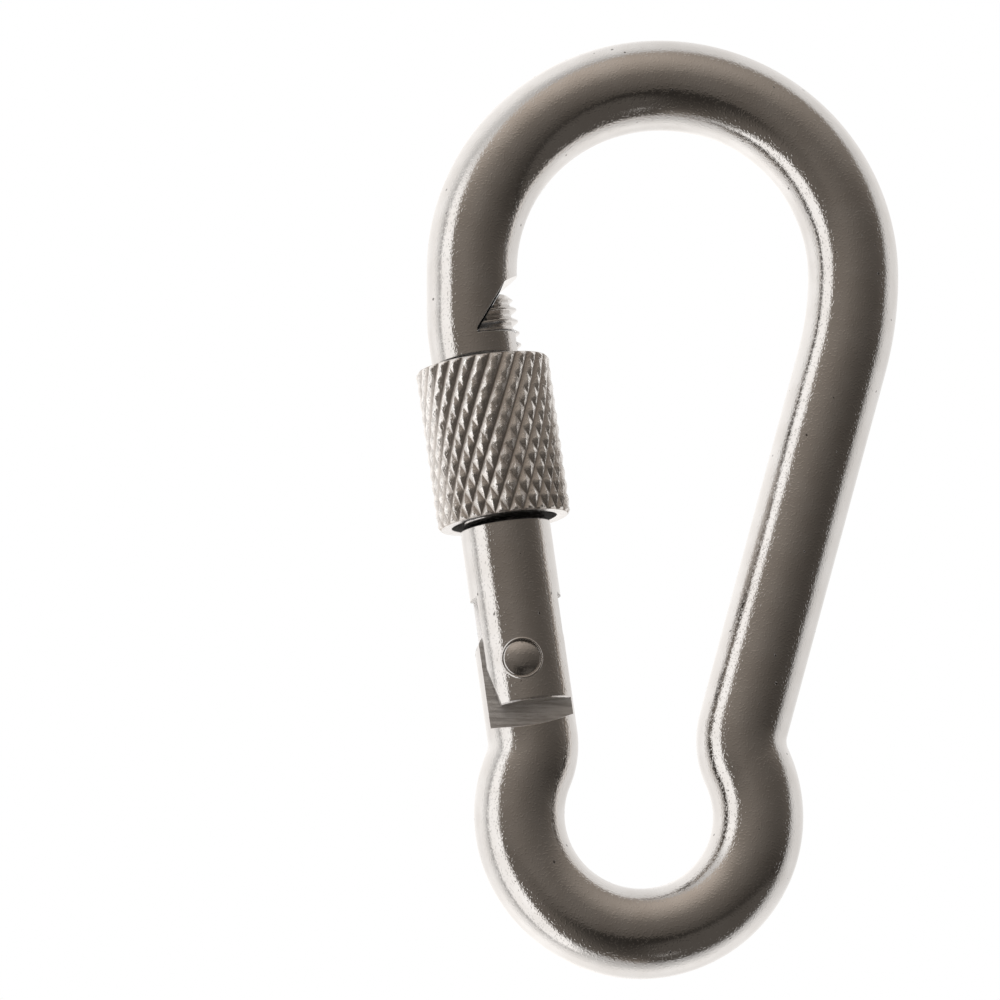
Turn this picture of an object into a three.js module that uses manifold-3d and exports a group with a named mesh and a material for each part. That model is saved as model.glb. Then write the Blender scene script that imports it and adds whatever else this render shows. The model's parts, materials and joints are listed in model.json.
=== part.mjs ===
// A steel spring snap hook with a screw lock: a pear-shaped ring bent from one round bar, closed by
// a hinged gate whose threaded head drops into a notch in the ring's nose. A knurled sleeve on the
// gate's thread closes over the nose.
//
// Millimetres. +Z runs from the narrow bow to the wide bow, +X from the gate to the straight leg,
// and Y is the hinge's axis. The origin is the centre of the whole hook.
//
// The gate leans over towards -X. What belongs to it is drawn in the gate's own frame: x across the
// gate, z along its axis, and z = 0 level with the hinge.
import * as THREE from 'three';
import { mergeVertices } from 'three/addons/utils/BufferGeometryUtils.js';
import Module from 'manifold-3d';

const wasm = await Module();
wasm.setup();

const { cos, sin, tan, sqrt, atan2, PI } = Math;
const DEGREE = PI / 180;

// ---- the ring ----
const LENGTH = 80;              // over both bows
const BAR = 3.8;                // radius of the bar, to its flats
const BAR_SIDES = 24;           // flats round the bar, one of them facing each way along Y
const WIDE = { x: 0.52, radius: 16.1 };       // centreline of the wide bow, at the top
const NARROW = { x: -1.52, radius: 10.05 };   // centreline of the narrow bow, at the bottom
const NECK = 5.4;               // centreline radius where the bar bends back beside the narrow bow
const LEG_LEAN = 15 * DEGREE;   // of the straight leg, from upright
const LEG_EASE = 28;            // radius of the easy bend between the wide bow and the leg
const NOSE_BEND = 16;           // radius of the bend that turns the nose parallel to the gate
const NOSE_OFFSET = -0.4;       // the nose's axis lies this far outside the gate's axis

// ---- the gate's frame ----
const GATE_LEAN = 8 * DEGREE;
const GATE_FOOT = { x: -11.12, z: -13.4 };    // on the gate's axis, level with the hinge
const HINGE = -0.5;             // x of the hinge in the gate's frame

// ---- hinge: the ring ends in a flat tongue, in a slot of the gate ----
const TONGUE = 1.4;             // half its thickness
const TONGUE_TOP = 3.0;         // height of its top over the hinge, gate closed
const TONGUE_OFFSET = -0.2;     // its bar lies this far outside the gate's axis
const CAM_RATE = 1.5;           // mm of plunger travel per radian of gate swing
const CAM_ANGLE = 30 * DEGREE;  // the cam goes on rising for a little more than the gate's swing
const CUTTER = { x: -0.7, z: 4.25, radius: 10 };    // the round cutter that milled the tongue free
const SLOT = 1.7;               // half the width of the gate's slot
const SAW = { x: -1, top: 6.15, radius: 15 };       // the saw that cut the gate's slot
const PIN = 1.5;                // radius of the rivet
const PIN_HOLE = 1.6;

// ---- nose: a notch with a shelf, and a slot that leaves two prongs ----
const SHELF = 27.93;            // height of the prongs' tops
const NOTCH_X = -0.35;          // how deep the notch and the slot reach
const NOTCH_RISE = 0.42;        // height of the notch's upright back
const NOTCH_SLOPE = 52 * DEGREE;
const PRONG_CORNER = 1.0;       // radius on the prongs' outer corners
const NOSE_SLOT = 1.75;         // half the width between the prongs
const NOSE_END = 26.28;         // distance of the nose's end from the hinge
const NOSE_WASTE = 5;           // the bar reaches less than this past the nose's end

// ---- gate ----
const GATE_END = -3.6;
const SHANK_TOP = 11.75;        // the plain shank ends and the thread begins
const HEAD_CHAMFER = 0.6;
const THREAD = 3.5;             // radius over the thread
const HEAD_TOP = 31.2;
const GATE_SHOULDER = 25.9;     // where the neck starts
const GATE_NECK = 1.6;          // half its thickness
const HEAD_FOOT = 28.12;        // underside of the head, clear of the shelf
const HEAD_GAP = 0.15;          // between the head and the notch's slope
const HEAD_X = -0.15;           // back of the head and the neck
const BORE = 1.6;               // radius of the bore for the spring and the plunger
const BORE_TOP = 18.6;

// ---- spring and plunger ----
const PLUNGER = 1.45;
const PLUNGER_GAP = 0.08;       // between the plunger and the tongue's cam
const PLUNGER_TOP = 8.0;
const SPIGOT = { radius: 0.85, height: 1.4 };
const SPRING = { radius: 1.2, wire: 0.22, turns: 9, foot: 8.35, top: 18.25 };

// ---- sleeve ----
const SLEEVE = 5.65;            // outer radius
const SLEEVE_FOOT = 12.2;
const SLEEVE_TOP = 25.8;
const SLEEVE_EDGE = 0.3;        // chamfer at both ends
const NUT = { radius: 3.6, foot: 16.9, top: 20.5 };  // the threaded middle, drawn plain
const SKIRT = 4.45;             // radius of the recess at the foot, over the shank
const MOUTH = 4.35;             // radius of the recess at the top, over the prongs

const FAR = 40;                 // reaches past everything that a cut has to clear

const toGateFrame = new THREE.Matrix4()
  .makeTranslation(GATE_FOOT.x, 0, GATE_FOOT.z)
  .multiply(new THREE.Matrix4().makeRotationY(-GATE_LEAN));

// =============================================================================================
// solids
// =============================================================================================

function solid(geometry) {
  const bare = new THREE.BufferGeometry();
  bare.setAttribute('position', geometry.getAttribute('position'));
  bare.setIndex(geometry.index);
  const merged = mergeVertices(bare);
  return new wasm.Manifold(new wasm.Mesh({
    numProp: 3,
    vertProperties: new Float32Array(merged.getAttribute('position').array),
    triVerts: new Uint32Array(merged.index.array),
  }));
}

function geometryOf(manifold) {
  const { vertProperties, triVerts } = manifold.getMesh();
  const geometry = new THREE.BufferGeometry();
  geometry.setAttribute('position', new THREE.BufferAttribute(vertProperties, 3));
  geometry.setIndex(new THREE.BufferAttribute(triVerts, 1));
  geometry.computeVertexNormals();
  return geometry;
}

// An outline in x and z, made solid from y = from to y = to.
function prism(shape, from, to) {
  const geometry = new THREE.ExtrudeGeometry(shape, {
    depth: to - from, bevelEnabled: false, curveSegments: 16,
  });
  geometry.rotateX(PI / 2);
  return geometry.translate(0, to, 0);
}

// A profile of [radius, z] points, turned about the z axis.
function turned(profile, segments) {
  const points = profile.map(([radius, z]) => new THREE.Vector2(radius, z));
  return new THREE.LatheGeometry(points, segments).rotateX(PI / 2);
}

// A round hole or rod along y, centred on x and z = 0.
function crossRod(radius, x) {
  return new THREE.CylinderGeometry(radius, radius, FAR, 32).translate(x, 0, 0);
}

function outline(points) {
  return new THREE.Shape(points.map(([x, z]) => new THREE.Vector2(x, z)));
}

function box(left, right, foot, top) {
  return outline([[left, foot], [right, foot], [right, top], [left, top]]);
}

// =============================================================================================
// the bent bar
// =============================================================================================

const towards = (angle) => new THREE.Vector2(cos(angle), sin(angle));
const along = (centre, radius, angle) => towards(angle).multiplyScalar(radius).add(centre);

// An arc in the plane of the ring, from one angle to another.
function arc(centre, radius, from, to, steps) {
  const turn = to > from ? 1 : -1;
  const angleAt = (f) => from + (to - from) * f;
  return {
    steps,
    point: (f) => along(centre, radius, angleAt(f)),
    tangent: (f) => towards(angleAt(f) + turn * PI / 2),
  };
}

// A bow, split so that one straight step lies square across the angle of its seat.
function bow(centre, radius, from, to, seat, step) {
  const [before, after] = [seat - step / 2, seat + step / 2];
  return [
    arc(centre, radius, from, before, Math.round((before - from) / step)),
    arc(centre, radius, before, after, 1),
    arc(centre, radius, after, to, Math.round((to - after) / step)),
  ];
}

function straight(from, to) {
  const tangent = to.clone().sub(from).normalize();
  return { steps: 1, point: (f) => from.clone().lerp(to, f), tangent: () => tangent };
}

// A chain of arcs and straights in the xz plane, stepped piece by piece.
class BentBar extends THREE.Curve {
  constructor(pieces) {
    super();
    this.pieces = pieces;
    this.steps = pieces.reduce((sum, piece) => sum + piece.steps, 0);
  }

  pieceAt(t) {
    let step = t * this.steps;
    for (const piece of this.pieces) {
      if (step <= piece.steps) return [piece, step / piece.steps];
      step -= piece.steps;
    }
    return [this.pieces.at(-1), 1];
  }

  getPoint(t, target = new THREE.Vector3()) {
    const [piece, f] = this.pieceAt(t);
    const { x, y } = piece.point(f);
    return target.set(x, 0, y);
  }

  getTangent(t, target = new THREE.Vector3()) {
    const [piece, f] = this.pieceAt(t);
    const { x, y } = piece.tangent(f);
    return target.set(x, 0, y);
  }

  getPointAt(u, target) { return this.getPoint(u, target); }

  getTangentAt(u, target) { return this.getTangent(u, target); }
}

// The point at x, z in the gate's frame, as a point of the ring's plane.
function onGate(x, z) {
  const point = new THREE.Vector3(x, 0, z).applyMatrix4(toGateFrame);
  return new THREE.Vector2(point.x, point.z);
}

// The centre of a neck: NECK away from a straight run, on its side, and tangent to the narrow bow.
// `side` points from the run to the neck's centre, and `up` runs along it, away from the bow.
function neckCentre(narrow, onRun, side, up) {
  const across = onRun.clone().sub(narrow).dot(side) + NECK;
  const reach = NARROW.radius + NECK;
  const rise = sqrt(reach * reach - across * across);
  return narrow.clone().addScaledVector(side, across).addScaledVector(up, rise);
}

// The centreline, from the tongue round the narrow bow, up the leg and over the wide bow.
function ringCentreline() {
  const wide = new THREE.Vector2(WIDE.x, LENGTH / 2 - BAR - WIDE.radius);
  const narrow = new THREE.Vector2(NARROW.x, NARROW.radius + BAR - LENGTH / 2);

  const ease = wide.clone().setX(WIDE.x + WIDE.radius - LEG_EASE);
  const legTop = along(ease, LEG_EASE, -LEG_LEAN);
  const rightNeck = neckCentre(narrow, legTop, towards(-LEG_LEAN), towards(PI / 2 - LEG_LEAN));
  const rightAngle = atan2(rightNeck.y - narrow.y, rightNeck.x - narrow.x);
  const legFoot = along(rightNeck, NECK, PI - LEG_LEAN);

  const foot = onGate(TONGUE_OFFSET, 0);
  const leftNeck = neckCentre(narrow, foot, towards(PI + GATE_LEAN), towards(PI / 2 + GATE_LEAN));
  const leftAngle = atan2(leftNeck.y - narrow.y, leftNeck.x - narrow.x);
  const stub = along(leftNeck, NECK, GATE_LEAN);

  const bendX = WIDE.x - WIDE.radius + NOSE_BEND;
  const bendZ = GATE_FOOT.z
    + (NOSE_OFFSET + NOSE_BEND - (bendX - GATE_FOOT.x) * cos(GATE_LEAN)) / sin(GATE_LEAN);
  const bend = new THREE.Vector2(bendX, bendZ);

  return new BentBar([
    straight(onGate(TONGUE_OFFSET, TONGUE_TOP + 2), stub),
    arc(leftNeck, NECK, GATE_LEAN, leftAngle - PI, 5),
    ...bow(narrow, NARROW.radius, leftAngle, rightAngle + 2 * PI, 1.5 * PI, 8 * DEGREE),
    arc(rightNeck, NECK, rightAngle + PI, PI - LEG_LEAN, 5),
    straight(legFoot, legTop),
    arc(ease, LEG_EASE, -LEG_LEAN, 0, 3),
    ...bow(wide, WIDE.radius, 0, PI, PI / 2, 7.5 * DEGREE),
    straight(along(wide, WIDE.radius, PI), along(bend, NOSE_BEND, PI)),
    arc(bend, NOSE_BEND, PI, PI + GATE_LEAN, 2),
    straight(along(bend, NOSE_BEND, PI + GATE_LEAN), onGate(NOSE_OFFSET, GATE_SHOULDER - 1)),
  ]);
}

function bentBar() {
  const path = ringCentreline();
  const section = new THREE.Shape();
  const turn = PI / BAR_SIDES;
  section.absarc(0, 0, BAR / cos(turn), turn, turn + 2 * PI);
  return solid(new THREE.ExtrudeGeometry(section, {
    steps: path.steps, extrudePath: path, bevelEnabled: false, curveSegments: BAR_SIDES / 2,
  }));
}

// =============================================================================================
// cuts in the ring, in the gate's frame
// =============================================================================================

// Both cheeks beside the tongue, as a round cutter leaves them.
function cheekWaste() {
  const disc = new THREE.Shape();
  disc.absarc(CUTTER.x, CUTTER.z, CUTTER.radius, 0, 2 * PI);
  return [prism(disc, TONGUE, FAR), prism(disc, -FAR, -TONGUE)];
}

// Everything over the tongue. On the side that the gate swings to, the tongue's top is the involute
// that lifts a flat plunger by the same amount for each degree of swing.
function tongueTopWaste() {
  const shape = new THREE.Shape();
  const corner = 2;
  const outer = TONGUE_OFFSET - BAR;
  shape.moveTo(-BAR - 1, TONGUE_TOP - corner);
  shape.lineTo(outer, TONGUE_TOP - corner);
  shape.absarc(outer + corner, TONGUE_TOP - corner, corner, PI, PI / 2, true);
  const steps = 8;
  for (let i = 0; i <= steps; i++) {
    const angle = CAM_ANGLE * i / steps;
    const lift = TONGUE_TOP + CAM_RATE * angle;
    shape.lineTo(HINGE + lift * sin(angle) + CAM_RATE * cos(angle),
      lift * cos(angle) - CAM_RATE * sin(angle));
  }
  const last = shape.currentPoint;
  const run = BAR + 1 - last.x;
  shape.lineTo(BAR + 1, last.y - run * tan(CAM_ANGLE));
  shape.lineTo(BAR + 1, TONGUE_TOP + 4);
  shape.lineTo(-BAR - 1, TONGUE_TOP + 4);
  return prism(shape, -FAR, FAR);
}

// The notch for the gate's head: a shelf, an upright back and a slope that flattens out at the lip.
function notchWaste() {
  const far = BAR + 3;
  const inner = BAR + NOSE_OFFSET;
  const lip = { x: 2.6, slope: 27 * DEGREE };
  const lipZ = SHELF + NOTCH_RISE + (lip.x - NOTCH_X) * tan(NOTCH_SLOPE);
  const shape = new THREE.Shape();
  shape.moveTo(far, SHELF - PRONG_CORNER);
  shape.lineTo(inner, SHELF - PRONG_CORNER);
  shape.absarc(inner - PRONG_CORNER, SHELF - PRONG_CORNER, PRONG_CORNER, 0, PI / 2, false);
  shape.lineTo(NOTCH_X, SHELF);
  shape.lineTo(NOTCH_X, SHELF + NOTCH_RISE);
  shape.lineTo(lip.x, lipZ);
  shape.lineTo(far, lipZ + (far - lip.x) * tan(lip.slope));
  return prism(shape, -FAR, FAR);
}

// The nose's end, on an arc about the hinge, so that the sleeve and the gate swing past it.
function noseEndWaste() {
  const shape = new THREE.Shape();
  const half = 10 * DEGREE;
  shape.absarc(HINGE, 0, NOSE_END, PI / 2 + half, PI / 2 - half, true);
  const foot = NOSE_END - NOSE_WASTE;
  shape.lineTo(BAR, foot);
  shape.lineTo(-BAR, foot);
  return prism(shape, -FAR, FAR);
}

function hookFrame() {
  const between = box(NOTCH_X, BAR + 1, NOSE_END - NOSE_WASTE, SHELF + NOTCH_RISE / 2);
  const noseSlot = prism(between, -NOSE_SLOT, NOSE_SLOT);
  const waste = [
    ...cheekWaste(), tongueTopWaste(), crossRod(PIN_HOLE, HINGE),
    notchWaste(), noseEndWaste(), noseSlot,
  ];
  return waste.reduce(
    (bar, cut) => bar.subtract(solid(cut.applyMatrix4(toGateFrame))),
    bentBar(),
  );
}

// =============================================================================================
// the gate and what it carries, in the gate's frame
// =============================================================================================

// The slot for the tongue, with the round end that a saw leaves.
function gateSlot() {
  const half = 25 * DEGREE;
  const shape = new THREE.Shape();
  shape.absarc(SAW.x, SAW.top - SAW.radius, SAW.radius, PI / 2 + half, PI / 2 - half, true);
  shape.lineTo(BAR + 2, GATE_END - 2);
  shape.lineTo(-BAR - 2, GATE_END - 2);
  return prism(shape, -SLOT, SLOT);
}

// The foot's outer corner is bevelled and its inner corner is round.
function footWaste() {
  const corner = 1.0;
  const outer = outline([
    [-BAR - 1, 6.1], [-BAR, 1.6], [-2.65, GATE_END], [-2.65, GATE_END - 1],
    [-BAR - 1, GATE_END - 1],
  ]);
  const inner = new THREE.Shape();
  inner.moveTo(BAR - corner, GATE_END - 1);
  inner.lineTo(BAR - corner, GATE_END);
  inner.absarc(BAR - corner, GATE_END + corner, corner, -PI / 2, 0, false);
  inner.lineTo(BAR + 1, GATE_END + corner);
  inner.lineTo(BAR + 1, GATE_END - 1);
  return [prism(outer, -FAR, FAR), prism(inner, -FAR, FAR)];
}

// What is cut away at the gate's head, so that a neck between the prongs carries a wedge-shaped
// head in the notch.
function headWaste() {
  const behind = box(-BAR - 2, HEAD_X, GATE_SHOULDER, HEAD_TOP + 1);
  const beside = box(HEAD_X - 1, BAR + 1, GATE_SHOULDER, HEAD_FOOT);
  const slope = SHELF + NOTCH_RISE - HEAD_GAP / cos(NOTCH_SLOPE);
  const slopeAt = (x) => slope + (x - NOTCH_X) * tan(NOTCH_SLOPE);
  const above = outline([
    [HEAD_X - 1, slopeAt(HEAD_X - 1)], [BAR + 1, slopeAt(BAR + 1)], [HEAD_X - 1, slopeAt(BAR + 1)],
  ]);
  return [
    prism(behind, -FAR, FAR), prism(above, -FAR, FAR),
    prism(beside, GATE_NECK, FAR), prism(beside, -FAR, -GATE_NECK),
  ];
}

function gate() {
  const edge = BAR - THREAD;
  const blank = solid(turned([
    [0, GATE_END], [BAR, GATE_END], [BAR, SHANK_TOP], [THREAD, SHANK_TOP + edge],
    [THREAD, HEAD_TOP - HEAD_CHAMFER], [THREAD - HEAD_CHAMFER, HEAD_TOP], [0, HEAD_TOP],
  ], 40));
  const bore = turned([[0, 0], [BORE, 0], [BORE, BORE_TOP], [0, BORE_TOP]], 32);
  const waste = [gateSlot(), ...footWaste(), ...headWaste(), bore, crossRod(PIN_HOLE, HINGE)];
  return waste.reduce((bar, cut) => bar.subtract(solid(cut)), blank);
}

// A pin with a low round head riveted over at each end.
function hingeRivet() {
  const [edge, crown, steps] = [3.55, 4.0, 5];
  const domeRadius = (PIN * PIN + (crown - edge) ** 2) / (2 * (crown - edge));
  const dome = Array.from({ length: steps }, (_, i) => {
    const radius = PIN * (1 - (i + 1) / steps);
    return [radius, crown - domeRadius + sqrt(domeRadius ** 2 - radius ** 2)];
  });
  const upper = [[PIN, edge], ...dome];
  const lower = upper.map(([radius, z]) => [radius, -z]).reverse();
  return turned([...lower, ...upper], 32).rotateX(-PI / 2).translate(HINGE, 0, 0);
}

// The nut: recessed over the shank at its foot and over the prongs at its mouth.
function lockSleeve() {
  const [foot, top, edge] = [SLEEVE_FOOT, SLEEVE_TOP, SLEEVE_EDGE];
  return turned([
    [SKIRT, foot], [SLEEVE - edge, foot], [SLEEVE, foot + edge], [SLEEVE, top - edge],
    [SLEEVE - edge, top], [MOUTH, top], [MOUTH, NUT.top + MOUTH - NUT.radius],
    [NUT.radius, NUT.top], [NUT.radius, NUT.foot], [SKIRT, NUT.foot - SKIRT + NUT.radius],
    [SKIRT, foot],
  ], 48);
}

// Its flat foot bears on the tongue's cam and its spigot centres the spring.
function springPlunger() {
  const foot = TONGUE_TOP + PLUNGER_GAP;
  const edge = 0.1;
  return turned([
    [0, foot], [PLUNGER - edge, foot], [PLUNGER, foot + edge], [PLUNGER, PLUNGER_TOP],
    [SPIGOT.radius, PLUNGER_TOP], [SPIGOT.radius, PLUNGER_TOP + SPIGOT.height],
    [0, PLUNGER_TOP + SPIGOT.height],
  ], 24);
}

class Helix extends THREE.Curve {
  getPoint(t, target = new THREE.Vector3()) {
    const angle = 2 * PI * SPRING.turns * t;
    const z = SPRING.foot + (SPRING.top - SPRING.foot) * t;
    return target.set(SPRING.radius * cos(angle), SPRING.radius * sin(angle), z);
  }
}

function gateSpring() {
  const wire = new THREE.Shape().absarc(0, 0, SPRING.wire, 0, 2 * PI);
  return new THREE.ExtrudeGeometry(wire, {
    steps: SPRING.turns * 14, extrudePath: new Helix(), bevelEnabled: false, curveSegments: 3,
  });
}

// =============================================================================================
// the hook
// =============================================================================================

function steel(name, geometry, color, roughness) {
  const material = new THREE.MeshStandardMaterial({
    color, roughness, metalness: 1, flatShading: true,
  });
  const mesh = new THREE.Mesh(geometry, material);
  mesh.name = name;
  return mesh;
}

const gateGroup = new THREE.Group();
gateGroup.applyMatrix4(toGateFrame);
gateGroup.add(
  steel('gate', geometryOf(gate()), 0xb9b5b0, 0.2),
  steel('hinge_rivet', hingeRivet(), 0xb4b0aa, 0.18),
  steel('lock_sleeve', lockSleeve(), 0xbab7b3, 0.28),
  steel('spring_plunger', springPlunger(), 0xa8a7a4, 0.3),
  steel('gate_spring', gateSpring(), 0x9a9a98, 0.35),
);

const hook = new THREE.Group();
hook.add(steel('hook_frame', geometryOf(hookFrame()), 0xb8b4ae, 0.18), gateGroup);

export default hook;
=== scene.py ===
import json
from math import atan2, ceil, cos, pi, radians, sin, sqrt, tan

import bpy
import numpy as np
from mathutils import Matrix, Vector


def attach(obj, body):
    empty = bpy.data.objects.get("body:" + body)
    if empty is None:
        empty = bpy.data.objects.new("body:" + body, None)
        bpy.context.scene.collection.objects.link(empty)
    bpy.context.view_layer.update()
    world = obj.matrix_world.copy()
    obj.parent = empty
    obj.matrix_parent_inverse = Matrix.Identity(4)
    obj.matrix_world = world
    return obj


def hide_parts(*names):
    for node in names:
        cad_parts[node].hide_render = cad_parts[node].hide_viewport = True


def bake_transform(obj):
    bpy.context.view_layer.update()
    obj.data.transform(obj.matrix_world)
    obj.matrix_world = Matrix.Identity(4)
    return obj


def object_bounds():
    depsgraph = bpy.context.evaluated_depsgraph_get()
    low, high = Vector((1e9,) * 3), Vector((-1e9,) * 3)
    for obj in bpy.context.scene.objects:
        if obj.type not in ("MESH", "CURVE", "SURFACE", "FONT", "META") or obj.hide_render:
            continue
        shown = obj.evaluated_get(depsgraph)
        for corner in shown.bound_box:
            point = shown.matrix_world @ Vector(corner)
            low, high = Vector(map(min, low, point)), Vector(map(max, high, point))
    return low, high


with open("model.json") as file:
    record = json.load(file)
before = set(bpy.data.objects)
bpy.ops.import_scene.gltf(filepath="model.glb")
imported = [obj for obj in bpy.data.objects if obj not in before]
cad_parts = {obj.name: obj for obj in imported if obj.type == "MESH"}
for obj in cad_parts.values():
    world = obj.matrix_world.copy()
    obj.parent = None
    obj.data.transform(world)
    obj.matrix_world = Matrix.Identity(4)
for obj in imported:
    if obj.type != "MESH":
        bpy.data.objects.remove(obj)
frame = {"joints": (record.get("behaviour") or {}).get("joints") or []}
CAD_BOX = [list(corner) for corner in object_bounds()]

# A polished steel snap hook with a screw-locked gate. Lengths are in millimetres until a mesh is
# made, and the constants are the same driving dimensions as the CAD part's.
MM = 0.001

# ---- the ring ----
LENGTH = 80.0
BAR = 3.8                       # radius of the bar
BAR_SIDES = 112
STEP = 0.35                     # length of one step along the bar
WIDE_X, WIDE_RADIUS = 0.52, 16.1
NARROW_X, NARROW_RADIUS = -1.52, 10.05
NECK = 5.4                      # radius where the bar bends back beside the narrow bow
LEG_LEAN = radians(15)
LEG_EASE = 28.0                 # radius of the easy bend between the wide bow and the leg
NOSE_BEND = 16.0                # radius of the bend that turns the nose parallel to the gate
NOSE_OFFSET = -0.4              # the nose's axis lies this far outside the gate's axis

# ---- the gate's frame: x across the gate, z along it, and z = 0 level with the hinge. Its axis
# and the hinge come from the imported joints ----
JOINTS = {joint["name"]: joint for joint in frame["joints"]}
HINGE = -0.5                    # x of the hinge in the gate's frame
HINGE_AT = Vector(JOINTS["gate_swing"]["pos_m"]) / MM
GATE_UP = Vector(JOINTS["sleeve_travel"]["axis"])
GATE_LEAN = atan2(-GATE_UP.x, GATE_UP.z)
TO_GATE = Matrix.Translation(HINGE_AT) @ Matrix.Rotation(-GATE_LEAN, 4, "Y") \
    @ Matrix.Translation((-HINGE, 0, 0))    # from the gate's frame to the hook's

# ---- hinge ----
TONGUE = 1.4                    # half the tongue's thickness
TONGUE_TOP, TONGUE_OFFSET, TONGUE_CORNER = 3.0, -0.2, 2.0
TONGUE_WASTE = 2.0              # the bar reaches this far past the tongue's top
CAM_RATE, CAM_ANGLE = 1.5, radians(30)      # mm of plunger travel per radian of swing
CUTTER_X, CUTTER_Z, CUTTER_RADIUS = -0.7, 4.25, 10.0
SLOT = 1.7                      # half the width of the gate's slot
SAW_X, SAW_TOP, SAW_RADIUS = -1.0, 6.15, 15.0
PIN_HOLE = 1.6

# ---- nose ----
SHELF, NOTCH_X, NOTCH_RISE, NOTCH_SLOPE = 27.93, -0.35, 0.42, radians(52)
LIP_X, LIP_SLOPE = 2.6, radians(27)
PRONG_CORNER, NOSE_SLOT, NOSE_END = 1.0, 1.75, 26.28
NOSE_WASTE = 2.76               # the bar reaches half of this past the nose's end

# ---- gate ----
GATE_END, GATE_EDGE, SHANK_TOP = -3.6, 0.15, 11.75
HEAD_TOP, HEAD_CHAMFER = 31.2, 0.6
THREAD, THREAD_DEPTH, THREAD_START, PITCH = 3.5, 0.5, 0.1, 1.0
THREAD_CREST, THREAD_ROOT = 0.14, 0.20      # their flats, as shares of a pitch
GATE_SHOULDER, GATE_NECK, HEAD_FOOT, HEAD_GAP, HEAD_X = 25.9, 1.6, 28.12, 0.15, -0.15
FOOT_CORNER, BEVEL_X, BEVEL_MIDDLE, BEVEL_TOP = 1.0, -2.65, 1.6, 6.1
BORE, BORE_TOP = 1.6, 18.6

# ---- rivet, plunger and spring ----
RIVET, RIVET_EDGE, RIVET_CROWN, RIVET_ROUND = 1.56, 3.5, 4.0, 0.14
PLUNGER, PLUNGER_FOOT, PLUNGER_TOP = 1.45, 3.08, 8.0
SPIGOT, SPIGOT_HEIGHT = 0.85, 1.4
COIL, WIRE, TURNS, COIL_FOOT, COIL_TOP = 1.2, 0.22, 9, 8.25, 18.35

# ---- sleeve ----
SLEEVE, SLEEVE_FOOT, SLEEVE_TOP, SLEEVE_EDGE = 5.65, 12.2, 25.8, 0.28
SLEEVE_SOFT = 0.08              # rounding of the recesses' edges
NUT, NUT_FOOT, NUT_TOP, NUT_THREAD = 3.6, 16.9, 20.5, 0.3
SKIRT, MOUTH = 4.45, 4.35
KNURLS = 28                     # grooves round the sleeve, in each of the two families
KNURL_STEPS = 16                # mesh columns to one groove
KNURL_ANGLE = radians(27.75)    # half the angle between the families
KNURL_SKEW = radians(-2.25)     # the lattice as a whole leans by this much
KNURL_DEPTH = 0.30
KNURL_RIDGE = 0.12              # flat on a ridge, as a share of the distance between two
SECOND_FOOT, SECOND_TOP = 0.95, 0.33    # depth of the second family, as a share of the first's

# ---- camera ----
AZIMUTH, ELEVATION = radians(-4.5), radians(-10)
VIEW_WIDTH = 84.0336            # across the picture, at the hook
CAMERA_FAR = 3000.0
AIM_RIGHT, AIM_UP = -13.1513, 0.7563        # the picture's centre, from the hook's

# ---- cuts ----
FAR = 40.0                      # reaches past everything that a cut has to clear
SPARE = 1.0                     # an outline goes this far past the metal that it cuts

# ---- kinds of surface: the outside, milled faces, and the other cuts ----
OUTER, MILLED, CUT = 0, 1, 2
KINDS = [bpy.data.materials.new(kind) for kind in ("outer", "milled", "cut")]


# ================================================================================================
# meshes
# ================================================================================================

def mesh_object(name, points, faces, matrix=Matrix.Identity(4), surface=OUTER):
    """A mesh object from points in mm, placed by matrix. Every face is of that kind of surface,
    with a stand-in material that `dress` replaces."""
    mesh = bpy.data.meshes.new(name)
    mesh.from_pydata([tuple(p) for p in points], [], faces)
    mesh.transform(Matrix.Scale(MM, 4) @ matrix)
    for kind in KINDS:
        mesh.materials.append(kind)
    mesh.polygons.foreach_set("material_index", [surface] * len(mesh.polygons))
    outward(mesh)
    obj = bpy.data.objects.new(name, mesh)
    bpy.context.scene.collection.objects.link(obj)
    return obj


def outward(mesh):
    """Flips the mesh if it is inside out."""
    mesh.update()
    count = len(mesh.polygons)
    centres, normals, areas = np.zeros(count * 3), np.zeros(count * 3), np.zeros(count)
    mesh.polygons.foreach_get("center", centres)
    mesh.polygons.foreach_get("normal", normals)
    mesh.polygons.foreach_get("area", areas)
    volume = ((centres.reshape(-1, 3) * normals.reshape(-1, 3)).sum(1) * areas).sum()
    if volume < 0:
        mesh.flip_normals()
        mesh.update()


def grid_faces(rows, columns, closed=False):
    """Quads between rows of `columns` points. `closed` joins the last row to the first."""
    faces = []
    for row in range(rows if closed else rows - 1):
        a, b = row * columns, (row + 1) % rows * columns
        for column in range(columns):
            after = (column + 1) % columns
            faces.append((a + column, a + after, b + after, b + column))
    return faces


def capped(rows, columns):
    """Quads between rows, with a flat cap on the first and the last row."""
    first = tuple(range(columns))
    last = tuple(range((rows - 1) * columns, rows * columns))
    return grid_faces(rows, columns) + [first[::-1], last]


def prism(outline, low, high, surface=CUT, matrix=TO_GATE, name="cut"):
    """An outline in x and z, made solid from y = low to y = high."""
    points = [(x, low, z) for x, z in outline] + [(x, high, z) for x, z in outline]
    return mesh_object(name, points, capped(2, len(outline)), matrix, surface)


def ring(radius, z, columns, turn=0.0):
    """Points round the z axis. radius is one value, or one for each point."""
    angles = 2 * pi * np.arange(columns) / columns + turn
    radius = np.broadcast_to(radius, columns)
    return np.stack([radius * np.cos(angles), radius * np.sin(angles), np.full(columns, z)], 1)


def turned(name, profile, columns, matrix=TO_GATE, surface=OUTER):
    """A profile of (radius, z) turned about z, flat across both ends."""
    points = np.concatenate([ring(radius, z, columns) for radius, z in profile])
    return mesh_object(name, points, capped(len(profile), columns), matrix, surface)


def rod(radius, x):
    """A round hole along y, level with the hinge."""
    return prism(circle((x, 0), radius, 96), -FAR, FAR)


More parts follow.
